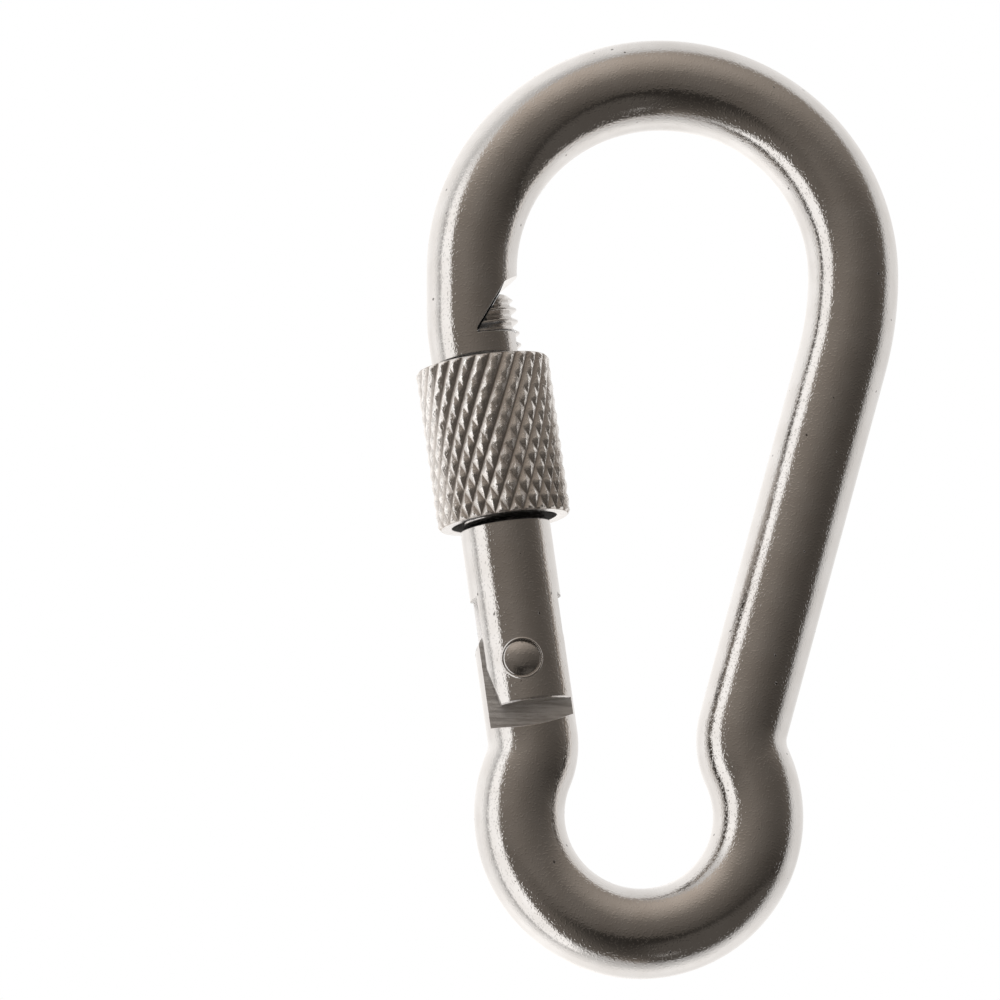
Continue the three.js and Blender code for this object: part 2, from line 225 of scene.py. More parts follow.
def circle(centre, radius, sides):
    """The corners of a closed circle."""
    return arc_points(centre, radius, 0, 2 * pi, sides)[:-1]


def arc_points(centre, radius, start, end, steps):
    """Points along an arc, both ends included."""
    angles = np.linspace(start, end, steps + 1)
    return [(centre[0] + radius * cos(a), centre[1] + radius * sin(a)) for a in angles]


def box_outline(left, right, foot, top):
    """The corners of a rectangle."""
    return [(left, foot), (right, foot), (right, top), (left, top)]


def subtract(obj, cutters):
    """Cuts each cutter out of obj, and removes the cutters."""
    for cutter in cutters:
        modifier = obj.modifiers.new("cut", "BOOLEAN")
        modifier.operation, modifier.solver, modifier.object = "DIFFERENCE", "MANIFOLD", cutter
    bpy.context.view_layer.update()
    mesh = bpy.data.meshes.new_from_object(
        obj.evaluated_get(bpy.context.evaluated_depsgraph_get()))
    obj.modifiers.clear()
    obj.data = mesh
    for cutter in cutters:
        bpy.data.objects.remove(cutter)
    return obj


def shade(obj, sharp=28, normal_at=None):
    """Smooth shading with sharp edges where the surface turns by more than `sharp` degrees, or
    where a cut meets the outer surface. normal_at gives the true normals of the outer surface."""
    mesh = obj.data
    mesh.polygons.foreach_set("use_smooth", [True] * len(mesh.polygons))
    normals = np.zeros(len(mesh.polygons) * 3)
    mesh.polygons.foreach_get("normal", normals)
    normals = normals.reshape(-1, 3)
    kinds = np.zeros(len(mesh.polygons), np.int32)
    mesh.polygons.foreach_get("material_index", kinds)
    mark_sharp(mesh, normals, kinds, cos(radians(sharp)))
    if normal_at:
        set_true_normals(mesh, normals, kinds, normal_at)


def mark_sharp(mesh, normals, kinds, limit):
    """Marks an edge sharp where its faces differ in kind, or their normals' cosine is low."""
    sides = {}
    for polygon in mesh.polygons:
        for key in polygon.edge_keys:
            sides.setdefault(key, []).append(polygon.index)
    edges = []
    for edge in mesh.edges:
        pair = sides.get(edge.key, ())
        edges.append(len(pair) != 2 or kinds[pair[0]] != kinds[pair[1]]
                     or normals[pair[0]] @ normals[pair[1]] < limit)
    mesh.attributes.new("sharp_edge", "BOOLEAN", "EDGE").data.foreach_set(
        "value", np.array(edges, bool))


def set_true_normals(mesh, normals, kinds, normal_at):
    """Gives the outer faces the true normals. A zero keeps the mesh's own."""
    corners = np.zeros(len(mesh.loops), np.int32)
    mesh.loops.foreach_get("vertex_index", corners)
    points = np.zeros(len(mesh.vertices) * 3)
    mesh.vertices.foreach_get("co", points)
    true = normal_at(points.reshape(-1, 3) / MM)[corners]
    face_of = np.repeat(np.arange(len(mesh.polygons)), [p.loop_total for p in mesh.polygons])
    outer = (kinds[face_of] == OUTER) & ((normals[face_of] * true).sum(1) > 0.9)
    mesh.normals_split_custom_set(np.where(outer[:, None], true, 0).tolist())


# ================================================================================================
# the bent bar
# ================================================================================================

def towards(angle):
    """The unit vector at an angle, in the ring's plane."""
    return np.array([cos(angle), sin(angle)])


def on_gate(x, z):
    """A point of the gate's frame, as a point of the ring's plane."""
    point = TO_GATE @ Vector((x, 0, z))
    return np.array([point.x, point.z])


def bend(centre, radius, start, end):
    """Points and tangents along an arc, without its last point."""
    turn = 1 if end > start else -1
    steps = ceil(abs(end - start) * radius / STEP)
    angles = start + (end - start) * np.arange(steps) / steps
    points = centre + radius * np.stack([np.cos(angles), np.sin(angles)], 1)
    return points, turn * np.stack([-np.sin(angles), np.cos(angles)], 1)


def run(start, end):
    """Points and tangents along a straight, without its last point."""
    way = end - start
    length = sqrt(way @ way)
    steps = ceil(length / STEP)
    points = start + way * (np.arange(steps) / steps)[:, None]
    return points, np.tile(way / length, (steps, 1))


def neck_centre(narrow, on_run, side, up):
    """The centre of a neck: NECK away from a straight run, and tangent to the narrow bow. `side`
    points from the run to the neck's centre, and `up` runs along it, away from the bow."""
    across = (on_run - narrow) @ side + NECK
    reach = NARROW_RADIUS + NECK
    return narrow + side * across + up * sqrt(reach ** 2 - across ** 2)


def centreline():
    """Points and tangents from the tongue round the narrow bow, up the leg and over the top."""
    wide = np.array([WIDE_X, LENGTH / 2 - BAR - WIDE_RADIUS])
    narrow = np.array([NARROW_X, NARROW_RADIUS + BAR - LENGTH / 2])
    ease = np.array([WIDE_X + WIDE_RADIUS - LEG_EASE, wide[1]])
    leg_top = ease + LEG_EASE * towards(-LEG_LEAN)
    right = neck_centre(narrow, leg_top, towards(-LEG_LEAN), towards(pi / 2 - LEG_LEAN))
    right_angle = atan2(*(right - narrow)[::-1])
    leg_foot = right + NECK * towards(pi - LEG_LEAN)
    left = neck_centre(narrow, on_gate(TONGUE_OFFSET, 0), towards(pi + GATE_LEAN),
                       towards(pi / 2 + GATE_LEAN))
    left_angle = atan2(*(left - narrow)[::-1])
    foot = on_gate(0, 0)
    bend_x = WIDE_X - WIDE_RADIUS + NOSE_BEND
    bend_z = foot[1] + (NOSE_OFFSET + NOSE_BEND - (bend_x - foot[0]) * cos(GATE_LEAN)) \
        / sin(GATE_LEAN)
    nose = np.array([bend_x, bend_z])
    pieces = [
        run(on_gate(TONGUE_OFFSET, TONGUE_TOP + TONGUE_WASTE), left + NECK * towards(GATE_LEAN)),
        bend(left, NECK, GATE_LEAN, left_angle - pi),
        bend(narrow, NARROW_RADIUS, left_angle, right_angle + 2 * pi),
        bend(right, NECK, right_angle + pi, pi - LEG_LEAN),
        run(leg_foot, leg_top),
        bend(ease, LEG_EASE, -LEG_LEAN, 0),
        bend(wide, WIDE_RADIUS, 0, pi),
        run(wide - (WIDE_RADIUS, 0), nose - (NOSE_BEND, 0)),
        bend(nose, NOSE_BEND, pi, pi + GATE_LEAN),
        run(nose + NOSE_BEND * towards(pi + GATE_LEAN), on_gate(NOSE_OFFSET, NOSE_END - NOSE_WASTE / 2)),
    ]
    points, tangents = (np.concatenate(part) for part in zip(*pieces))
    return points, tangents


CENTRES, TANGENTS = centreline()


def bent_bar():
    """The whole round bar, before it is milled."""
    angles = 2 * pi * np.arange(BAR_SIDES) / BAR_SIDES
    across = np.stack([TANGENTS[:, 1], -TANGENTS[:, 0]], 1)
    points = []
    for centre, side in zip(CENTRES, across):
        out = BAR * np.cos(angles)
        points.append(np.stack([centre[0] + side[0] * out, BAR * np.sin(angles),
                                centre[1] + side[1] * out], 1))
    return mesh_object("hook_ring", np.concatenate(points), capped(len(points), BAR_SIDES))


def bar_normals(points):
    """The round bar's own normals at points near its surface."""
    flat = points[:, [0, 2]]
    nearest = np.concatenate([
        ((part[:, None] - CENTRES[None]) ** 2).sum(2).argmin(1)
        for part in np.array_split(flat, ceil(len(flat) / 4000))])
    away = flat - CENTRES[nearest]
    away -= TANGENTS[nearest] * (away * TANGENTS[nearest]).sum(1)[:, None]
    normals = np.stack([away[:, 0], points[:, 1], away[:, 1]], 1)
    return normals / np.maximum(np.linalg.norm(normals, axis=1), 1e-9)[:, None]


def tongue_top_outline():
    """Everything over the tongue. On the side that the gate swings to, the tongue's top is the
    involute that lifts a flat plunger by the same amount for each degree of swing."""
    corner_z = TONGUE_TOP - TONGUE_CORNER
    outline = [(-BAR - SPARE, corner_z)]
    outline += arc_points((TONGUE_OFFSET - BAR + TONGUE_CORNER, corner_z), TONGUE_CORNER,
                          pi, pi / 2, 24)
    for angle in np.linspace(0, CAM_ANGLE, 25):
        lift = TONGUE_TOP + CAM_RATE * angle
        outline.append((HINGE + lift * sin(angle) + CAM_RATE * cos(angle),
                        lift * cos(angle) - CAM_RATE * sin(angle)))
    x, z = outline[-1]
    far, top = BAR + SPARE, TONGUE_TOP + TONGUE_WASTE + SPARE
    return outline + [(far, z - (far - x) * tan(CAM_ANGLE)), (far, top), (-far, top)]


def notch_outlines():
    """The notch for the gate's head, and what is cut away under the lip."""
    far, inner = BAR + SPARE, BAR + NOSE_OFFSET
    lip_z = SHELF + NOTCH_RISE + (LIP_X - NOTCH_X) * tan(NOTCH_SLOPE)
    notch = [(far, SHELF - PRONG_CORNER)]
    notch += arc_points((inner - PRONG_CORNER, SHELF - PRONG_CORNER), PRONG_CORNER,
                        0, pi / 2, 20)
    notch += [(NOTCH_X, SHELF), (NOTCH_X, SHELF + NOTCH_RISE), (LIP_X, lip_z), (far, lip_z)]
    lip = [(LIP_X, lip_z), (LIP_X, SHELF), (far, SHELF),
           (far, lip_z + (far - LIP_X) * tan(LIP_SLOPE))]
    return notch, lip


def nose_end_outline():
    """The nose's end, on an arc about the hinge, so that the gate swings past it."""
    half = radians(10)
    end = arc_points((HINGE, 0), NOSE_END, pi / 2 + half, pi / 2 - half, 40)
    return end + [(BAR, NOSE_END - NOSE_WASTE), (-BAR, NOSE_END - NOSE_WASTE)]


def hook_ring():
    """The bent bar with its tongue, its notched nose and the slot between the two prongs."""
    disc = circle((CUTTER_X, CUTTER_Z), CUTTER_RADIUS, 240)
    notch, lip = notch_outlines()
    between = box_outline(NOTCH_X, BAR + SPARE, NOSE_END - NOSE_WASTE, SHELF + NOTCH_RISE / 2)
    ring_obj = subtract(bent_bar(), [
        prism(disc, TONGUE, FAR, MILLED), prism(disc, -FAR, -TONGUE, MILLED),
        prism(tongue_top_outline(), -FAR, FAR, MILLED), rod(PIN_HOLE, HINGE),
        prism(lip, -FAR, FAR, OUTER), prism(notch, -FAR, FAR),
        prism(nose_end_outline(), -FAR, FAR, MILLED),
        prism(between, -NOSE_SLOT, NOSE_SLOT),
    ])
    shade(ring_obj, normal_at=bar_normals)
    return ring_obj


# ================================================================================================
# the gate and what it carries
# ================================================================================================

def thread_cut(angles, z):
    """How deep a right-hand V thread is cut at each angle: 0 on its crest and 1 in its root."""
    phase = np.abs((z / PITCH - angles / (2 * pi)) % 1 - 0.5) * 2
    return np.clip((1 - THREAD_CREST - phase) / (1 - THREAD_CREST - THREAD_ROOT), 0, 1)


def gate_blank():
    """The turned bar: a plain shank, and a thread that runs out in one turn at its foot."""
    columns, rows_per_turn = 112, 16
    angles = 2 * pi * np.arange(columns) / columns
    thread_foot = SHANK_TOP + BAR - THREAD
    rows = [ring(BAR - GATE_EDGE, GATE_END, columns)]
    rows += [ring(BAR, z, columns) for z in np.linspace(GATE_END + GATE_EDGE, SHANK_TOP, 4)]
    rows.append(ring(THREAD, thread_foot, columns))
    for z in np.arange(thread_foot + THREAD_START, HEAD_TOP, PITCH / rows_per_turn):
        depth = THREAD_DEPTH * min((z - thread_foot) / PITCH, 1)
        radius = THREAD - depth * thread_cut(angles, z)
        rows.append(ring(np.minimum(radius, THREAD - HEAD_CHAMFER + HEAD_TOP - z), z, columns))
    rows.append(ring(THREAD - HEAD_CHAMFER, HEAD_TOP, columns))
    return mesh_object("gate_arm", np.concatenate(rows), capped(len(rows), columns), TO_GATE)


def gate_slot():
    """The slot for the tongue, with the round end that a saw leaves."""
    half = radians(25)
    low = GATE_END - SPARE
    saw = arc_points((SAW_X, SAW_TOP - SAW_RADIUS), SAW_RADIUS, pi / 2 + half, pi / 2 - half, 60)
    return prism(saw + [(BAR + SPARE, low), (-BAR - SPARE, low)], -SLOT, SLOT)


def foot_waste():
    """The foot's outer corner is bevelled and its inner corner is round."""
    far, low = BAR + SPARE, GATE_END - SPARE
    outer = [(-far, BEVEL_TOP), (-BAR, BEVEL_MIDDLE), (BEVEL_X, GATE_END), (BEVEL_X, low),
             (-far, low)]
    inner = [(BAR - FOOT_CORNER, low)]
    inner += arc_points((BAR - FOOT_CORNER, GATE_END + FOOT_CORNER), FOOT_CORNER, -pi / 2, 0, 20)
    inner += [(far, GATE_END + FOOT_CORNER), (far, low)]
    return [prism(outer, -FAR, FAR, MILLED), prism(inner, -FAR, FAR, MILLED)]


def head_waste():
    """What is cut away at the gate's head, so that a neck between the prongs carries a
    wedge-shaped head in the notch."""
    near, far = HEAD_X - SPARE, BAR + SPARE
    slope_foot = SHELF + NOTCH_RISE - HEAD_GAP / cos(NOTCH_SLOPE)
    low, high = (slope_foot + (x - NOTCH_X) * tan(NOTCH_SLOPE) for x in (near, far))
    behind = box_outline(-far, HEAD_X, GATE_SHOULDER, HEAD_TOP + SPARE)
    beside = box_outline(near, far, GATE_SHOULDER, HEAD_FOOT)
    above = [(near, low), (far, high), (near, high)]
    return [prism(behind, -FAR, FAR, MILLED), prism(above, -FAR, FAR, MILLED),
            prism(beside, GATE_NECK, FAR), prism(beside, -FAR, -GATE_NECK)]


def shank_normals(points):
    """Radial normals below the thread. Above it, the mesh's own normals are kept."""
    local = np.array([TO_GATE.inverted() @ Vector(p) for p in points])
    radial = local * (1, 1, 0)
    radial /= np.maximum(np.linalg.norm(radial, axis=1), 1e-9)[:, None]
    close = 0.05
    low, high = GATE_END + GATE_EDGE + close, SHANK_TOP - close
    radial[(local[:, 2] < low) | (local[:, 2] > high)] = 0
    return radial @ np.array(TO_GATE.to_3x3()).T


def gate_arm():
    """The gate: its slot, foot, head, spring bore and the hole for the rivet."""
    bore = turned("cut", [(BORE, 0), (BORE, BORE_TOP)], 96, surface=CUT)
    gate = subtract(gate_blank(), [gate_slot(), *foot_waste(), *head_waste(), bore,
                                   rod(PIN_HOLE, HINGE)])
    shade(gate, normal_at=shank_normals)
    return gate


def rivet():
    """A pin with a low dome and a rounded edge at each end."""
    rise = RIVET_CROWN - RIVET_EDGE - RIVET_ROUND
    flat = RIVET - RIVET_ROUND
    dome = (flat ** 2 + rise ** 2) / (2 * rise)
    end = arc_points((flat, RIVET_EDGE), RIVET_ROUND, 0, radians(72), 6)
    for radius in np.linspace(flat * 0.97, 0.02, 22):
        end.append((radius, RIVET_CROWN - dome + sqrt(dome ** 2 - radius ** 2)))
    profile = [(radius, -z) for radius, z in end[::-1]] + end
    lay = TO_GATE @ Matrix.Translation((HINGE, 0, 0)) @ Matrix.Rotation(-pi / 2, 4, "X")
    pin = turned("rivet_pin", profile, 96, lay)
    shade(pin, 40)
    return pin


def collar():
    """The low ring of metal that riveting raises round the rivet, on each side of the gate."""
    bead = ((1.57, -0.25), (1.575, 0.0), (1.61, 0.05), (1.66, 0.065), (1.72, 0.045),
            (1.77, 0.0), (1.80, -0.25))
    columns = 128
    angles = 2 * pi * np.arange(columns) / columns
    for side, suffix in ((-1, "front"), (1, "back")):
        rows = []
        for radius, height in bead:
            x, z = HINGE + radius * np.cos(angles), radius * np.sin(angles)
            y = np.sqrt((BAR + height) ** 2 - x ** 2)
            rows.append(np.stack([x, side * y, z], 1))
        faces = grid_faces(len(bead), columns, closed=True)
        bead_ring = mesh_object("rivet_collar_" + suffix, np.concatenate(rows), faces, TO_GATE)
        shade(bead_ring, 60)
        yield bead_ring


def knurl_radius(turns, z):
    """Radius over the diamond knurl. Two families of V grooves cross, the second cut lighter
    towards the sleeve's mouth."""
    first = np.abs((turns - z_turns(z)) * KNURLS % 1 - 0.5) * 2
    second = np.abs((turns + z_turns(z)) * KNURLS % 1 - 0.5) * 2
    up = (z - SLEEVE_FOOT) / (SLEEVE_TOP - SLEEVE_FOOT)
    share = SECOND_FOOT + (SECOND_TOP - SECOND_FOOT) * up
    cut = np.maximum(groove(first), groove(second) * share)
    return SLEEVE - KNURL_DEPTH * cut


def groove(phase):
    """0 on the ridge between two grooves and 1 in the groove."""
    return np.clip((phase - KNURL_RIDGE) / (1 - KNURL_RIDGE), 0, 1)


def z_turns(z):
    """How far round the sleeve a groove has gone at height z, as a share of a turn."""
    return (z - SLEEVE_FOOT) * tan(KNURL_ANGLE) / (2 * pi * SLEEVE)


def sleeve_profile():
    """The sleeve's bore as (radius, z), from its mouth to its foot. A radius of None is thread."""
    soft, part = SLEEVE_SOFT, SLEEVE_SOFT * 0.3
    rim = SLEEVE - SLEEVE_EDGE - 0.06
    mouth = [(rim, SLEEVE_TOP), (MOUTH + soft, SLEEVE_TOP), (MOUTH + part, SLEEVE_TOP - part)]
    inside = [(MOUTH, SLEEVE_TOP - soft), (MOUTH, NUT_TOP + MOUTH - NUT)]
    inside += [(None, z) for z in np.arange(NUT_TOP, NUT_FOOT, -PITCH / 12)]
    inside += [(SKIRT, NUT_FOOT - SKIRT + NUT), (SKIRT, SLEEVE_FOOT + soft)]
    foot = [(SKIRT + part, SLEEVE_FOOT + part), (SKIRT + soft, SLEEVE_FOOT), (rim, SLEEVE_FOOT)]
    return mouth, inside, foot


def knurled_rows(columns):
    """Rings over the knurl, chamfered at both ends, each one mesh cell above the last."""
    turns = np.arange(columns) / columns
    rise = 2 * pi * SLEEVE / columns / tan(KNURL_ANGLE)
    rows = []
    for z in SLEEVE_FOOT + rise * np.arange(int((SLEEVE_TOP - SLEEVE_FOOT) / rise) + 1):
        end = min(z - SLEEVE_FOOT, SLEEVE_TOP - z)
        radius = np.minimum(knurl_radius(turns, z), SLEEVE - SLEEVE_EDGE + end)
        rows.append(ring(radius, z, columns, (z - SLEEVE_FOOT) * tan(KNURL_SKEW) / SLEEVE))
    return rows


def locking_sleeve():
    """The nut: knurled outside, threaded in its middle, and recessed at both ends."""
    columns = KNURLS * KNURL_STEPS
    rows = knurled_rows(columns)
    knurl_count = len(rows)
    mouth, inside, foot = sleeve_profile()
    profile = mouth + inside + foot
    twist = (SLEEVE_TOP - SLEEVE_FOOT) * tan(KNURL_SKEW) / SLEEVE
    for i, (radius, z) in enumerate(profile):
        turn = twist * (1 - (i + 1) / len(profile))
        if radius is None:
            angles = 2 * pi * np.arange(columns) / columns + turn
            radius = NUT + NUT_THREAD * thread_cut(angles, z)
        rows.append(ring(radius, z, columns, turn))

    faces = knurl_faces(knurl_count, columns)
    plain = len(faces)
    faces += grid_faces(len(rows), columns, closed=True)[(knurl_count - 1) * columns:]
    sleeve = mesh_object("knurled_sleeve", np.concatenate(rows), faces, TO_GATE)
    inside_start = plain + len(mouth) * columns
    inside_end = inside_start + len(inside) * columns
    # The bore and its thread are of the CUT kind, which `dress` gives the painted bore shade; the faces
    # at both ends are MILLED.
    for polygon in sleeve.data.polygons[plain:]:
        inner = inside_start <= polygon.index < inside_end
        polygon.material_index = CUT if inner else MILLED
    shade(sleeve, 24)
    return sleeve


def knurl_faces(rows, columns):
    """Triangles whose long sides follow both families of grooves."""
    half = KNURL_STEPS // 2
    faces = []
    for row in range(rows - 1):
        for column in range(columns):
            after = (column + 1) % columns
            a, b = row * columns + column, row * columns + after
            c, d = b + columns, a + columns
            if (column - row) % half == 0:
                faces += [(a, b, c), (a, c, d)]
            else:
                faces += [(a, b, d), (b, c, d)]
    return faces


def plunger():
    """A pin whose flat foot bears on the tongue's cam and whose spigot centres the spring."""
    edge = 0.1
    body = turned("plunger_pin", [
        (0.3, PLUNGER_FOOT), (PLUNGER - edge, PLUNGER_FOOT), (PLUNGER, PLUNGER_FOOT + edge),
        (PLUNGER, PLUNGER_TOP - edge), (PLUNGER - edge, PLUNGER_TOP), (SPIGOT, PLUNGER_TOP),
        (SPIGOT, PLUNGER_TOP + SPIGOT_HEIGHT - edge),
        (SPIGOT - edge, PLUNGER_TOP + SPIGOT_HEIGHT)], 64)
    shade(body)
    return body


def coil():
    """An open coil with a closed turn at each end."""
    steps, sides = TURNS * 48, 16
    t = np.linspace(0, 1, steps + 1)
    closed = 1.1 / TURNS
    climb = np.clip((t - closed) / (1 - 2 * closed), 0, 1)
    end_rise = 2 * WIRE * 1.02
    z = COIL_FOOT + end_rise * np.clip(t / closed, 0, 1) \
        + end_rise * np.clip((t - 1 + closed) / closed, 0, 1) \
        + (COIL_TOP - COIL_FOOT - 2 * end_rise) * climb
    angle = 2 * pi * TURNS * t
    centres = np.stack([COIL * np.cos(angle), COIL * np.sin(angle), z], 1)
    around = 2 * pi * np.arange(sides) / sides
    rows = [centre + WIRE * (np.cos(around)[:, None] * np.array([cos(a), sin(a), 0])
                             + np.sin(around)[:, None] * np.array([0, 0, 1]))
            for centre, a in zip(centres, angle)]
    spring = mesh_object("coil_spring", np.concatenate(rows), capped(len(rows), sides), TO_GATE)
    shade(spring, 60)
    return spring


# ================================================================================================
# materials
# ================================================================================================

class Graph:
    """Short names for building a node tree."""

    def __init__(self, tree):
        self.tree = tree
        tree.nodes.clear()

    def node(self, kind, *inputs, **settings):
        node = self.tree.nodes.new("ShaderNode" + kind)
        for key, value in settings.items():
            setattr(node, key, value)
        for socket, value in zip(node.inputs, inputs):
            self.feed(socket, value)
        return node

    def feed(self, socket, value):
        if isinstance(value, bpy.types.NodeSocket):
            self.tree.links.new(value, socket)
        elif value is not None:
            socket.default_value = value

    def math(self, operation, *values):
        return self.node("Math", *values, operation=operation).outputs[0]

    def step(self, value, start, end, low=0.0, high=1.0):
        """Goes smoothly from low to high as value goes from start to end."""
        node = self.node("MapRange", value, start, end, low, high,
                         interpolation_type="SMOOTHSTEP")
        return node.outputs[0]

    def mix(self, factor, a, b):
        node = self.node("Mix", data_type="RGBA")
        self.feed(node.inputs["Factor"], factor)
        self.feed(node.inputs[6], a)
        self.feed(node.inputs[7], b)
        return node.outputs[2]

    def blend(self, factor, a, b):
        node = self.node("Mix", data_type="FLOAT")
        for index, value in ((0, factor), (2, a), (3, b)):
            self.feed(node.inputs[index], value)
        return node.outputs[0]

    def scaled(self, colour, factor):
        node = self.node("VectorMath", colour, operation="SCALE")
        self.feed(node.inputs["Scale"], factor)
        return node.outputs[0]

    def dot(self, vector, axis):
        return self.node("VectorMath", vector, tuple(axis), operation="DOT_PRODUCT").outputs[1]


def grey(level, warm=0.0):
    """A grey of that brightness, tinted towards brown by `warm`."""
    return (level * (1 + warm), level, level * (1 - warm * 0.9), 1)


def place_in_mm(graph):
    """Where a point lies on the object, in millimetres."""
    return graph.node("VectorMath", graph.node("TexCoord").outputs["Object"], (1 / MM,) * 3,
                      operation="MULTIPLY").outputs[0]


def noise(graph, place, scale, detail=2.0, rough=0.5):
    """Smooth noise around 0.5, with about `scale` bumps to a unit of place."""
    node = graph.node("TexNoise", place)
    graph.feed(node.inputs["Scale"], scale)
    graph.feed(node.inputs["Detail"], detail)
    graph.feed(node.inputs["Roughness"], rough)
    return node.outputs[0]


def add_pits(graph, place, colour, height):
    """Scattered dark pits of ragged outline."""
    ragged = graph.node("TexNoise", place)
    graph.feed(ragged.inputs["Scale"], 3.0)
    shift = graph.scaled(ragged.outputs["Color"], 0.3)
    cells = graph.node("TexVoronoi", graph.node("VectorMath", place, shift).outputs[0])
    graph.feed(cells.inputs["Scale"], 0.8)
    chance = graph.node("SeparateXYZ", cells.outputs["Color"]).outputs[0]
    size = graph.step(chance, 0.50, 1.0, 0.0, 0.10)
    pit = graph.math("LESS_THAN", cells.outputs["Distance"], size)
    colour = graph.mix(graph.math("MULTIPLY", pit, 0.75), colour, grey(0.08, 0.1))
    return colour, graph.math("MULTIPLY_ADD", pit, -0.02, height)


def add_tool_marks(graph, place, colour, height, tint, stretch):
    """Fine ridges, close together along the axes that `stretch` gives large values."""
    place = graph.node("VectorMath", place, stretch, operation="MULTIPLY").outputs[0]
    marks = noise(graph, place, 1.0, 3, 0.65)
    colour = graph.mix(graph.step(marks, 0.38, 0.66), colour, grey(tint * 0.62, 0.05))
    return colour, graph.math("MULTIPLY_ADD", marks, 0.035, height)


def paint_groove_shade(graph, place, colour, rough, tint):
    """Darker and rougher where the surface lies nearer to the sleeve's axis than the ridges. The
    darkening is painted shade; the roughness is the grooves' own.
    """
    out = graph.node("VectorMath", place, tuple(TO_GATE.translation), operation="SUBTRACT")
    out = graph.node("VectorMath", out.outputs[0], tuple(GATE_UP), operation="CROSS_PRODUCT")
    out = graph.node("VectorMath", out.outputs[0], operation="LENGTH").outputs["Value"]
    # how far into a groove: the mask of the painted shade
    deep = graph.step(out, SLEEVE - 0.02, SLEEVE - KNURL_DEPTH)
    colour = graph.mix(deep, colour, grey(tint * 0.56, 0.08))
    return colour, graph.math("MULTIPLY_ADD", deep, 0.18, rough)


def steel(name, tint, roughness, grain=0.006, edge=0.09, metallic=1.0, pits=True, marks=None,
          knurl=False):
    """Steel with clouds of tint and roughness and a fine orange-peel grain. Edges are rounded by
    `edge` mm. `marks` is the stretch of its tool marks, and `knurl` paints shade into the grooves."""
    material = bpy.data.materials.new(name)
    material.use_nodes = True
    graph = Graph(material.node_tree)
    place = place_in_mm(graph)

    clouds = noise(graph, place, 0.45, 3)
    fine = noise(graph, place, 11.0, 1.5, 0.6)
    specks = graph.step(noise(graph, place, 5.5, 0), 0.54, 0.74)
    colour = graph.mix(graph.step(clouds, 0.3, 0.7), grey(tint * 0.93, 0.03), grey(tint, 0.02))
    rough = graph.math("MULTIPLY_ADD", fine, 0.05, roughness - 0.025)
    rough = graph.math("MULTIPLY_ADD", graph.step(clouds, 0.35, 0.75), 0.035, rough)
    height = graph.math("MULTIPLY", graph.math("ADD", fine, specks), grain)
    if pits:
        colour, height = add_pits(graph, place, colour, height)
    if marks:
        colour, height = add_tool_marks(graph, place, colour, height, tint, marks)
    # painted shade in the knurl's grooves
    if knurl:
        colour, rough = paint_groove_shade(graph, place, colour, rough, tint)

    bump = graph.node("Bump")
    graph.feed(bump.inputs["Strength"], 1.0)
    graph.feed(bump.inputs["Distance"], MM)
    graph.feed(bump.inputs["Height"], height)
    if edge:
        graph.feed(bump.inputs["Normal"], graph.node("Bevel", edge * MM, samples=4).outputs[0])
    shader = graph.node("BsdfPrincipled")
    for socket, value in (("Base Color", colour), ("Metallic", metallic), ("Roughness", rough),
                          ("Specular IOR Level", 0.5 if metallic else 0.0),
                          ("Normal", bump.outputs[0])):
        graph.feed(shader.inputs[socket], value)
    graph.node("OutputMaterial", shader.outputs[0])
    return material


# ================================================================================================
# studio
# ================================================================================================

RIGHT = Vector((cos(AZIMUTH), sin(AZIMUTH), 0))
BACK = Vector((sin(AZIMUTH) * cos(ELEVATION), -cos(AZIMUTH) * cos(ELEVATION), sin(ELEVATION)))
UP = BACK.cross(RIGHT)


# The room's brightness from its foot to its ceiling, as (v, level), read along its middle.
ROOM_LOW, ROOM_HIGH = -0.75, 0.80
ROOM_LEVELS = (
    (-0.66, 0.40), (-0.57, 0.16), (-0.48, 0.085), (-0.39, 0.062), (-0.30, 0.045),
    (-0.19, 0.034), (-0.10, 0.040), (-0.08, 0.10), (0.0, 0.115), (0.08, 0.15), (0.18, 0.175),
    (0.27, 0.20), (0.36, 0.30), (0.45, 0.40), (0.56, 0.49), (0.65, 0.51), (0.74, 0.46))


def mirror_slopes(graph, ray):
    """The slopes u (to the right) and v (up) of the mirror that would show a direction to the
    camera: both are 0 towards the camera, and their length is 1 straight behind the hook."""
    near = graph.math("SQRT", graph.math("MAXIMUM", graph.math(
        "MULTIPLY_ADD", graph.dot(ray, BACK), 0.5, 0.5), 0.0004))
    twice = graph.math("MULTIPLY", near, 2.0)
    return (graph.math("DIVIDE", graph.dot(ray, RIGHT), twice),
            graph.math("DIVIDE", graph.dot(ray, UP), twice))


def white_table(graph, ray, u, v):
    """The white table behind the hook, and the tall window on the left."""
    radius = graph.math("SQRT", graph.math("ADD", graph.math("MULTIPLY", u, u),
                                           graph.math("MULTIPLY", v, v)))
    table = graph.step(radius, 0.66, 0.88, 0.34, 0.88)
    table = graph.math("MULTIPLY_ADD", graph.step(u, 0.1, -0.5), 0.22, table)
    table = graph.math("MULTIPLY_ADD", graph.step(v, -0.25, -0.60), 0.14, table)

    # the window is dimmer high up
    beside = graph.step(u, -0.24, -0.30)
    window = graph.step(v, 0.28, 0.56, 1.20, 0.62)
    inside = graph.math("MULTIPLY", beside, graph.step(radius, 0.70, 0.68))
    level = graph.blend(inside, table, window)

    # the far edge of the table is a thin dark line beside the window
    off = graph.math("ABSOLUTE", graph.math("SUBTRACT", radius, 0.715))
    line = graph.math("MULTIPLY", graph.step(off, 0.017, 0.004), beside)
    line = graph.math("MULTIPLY", line, graph.step(v, 0.45, 0.25))
    level = graph.math("MULTIPLY", level, graph.math("MULTIPLY_ADD", line, -0.40, 1.0))
    cloud = graph.math("MULTIPLY_ADD", noise(graph, ray, 1.7, 1), 0.34, 0.83)
    return graph.scaled(grey(1.0, 0.025)[:3], graph.math("MULTIPLY", level, cloud))


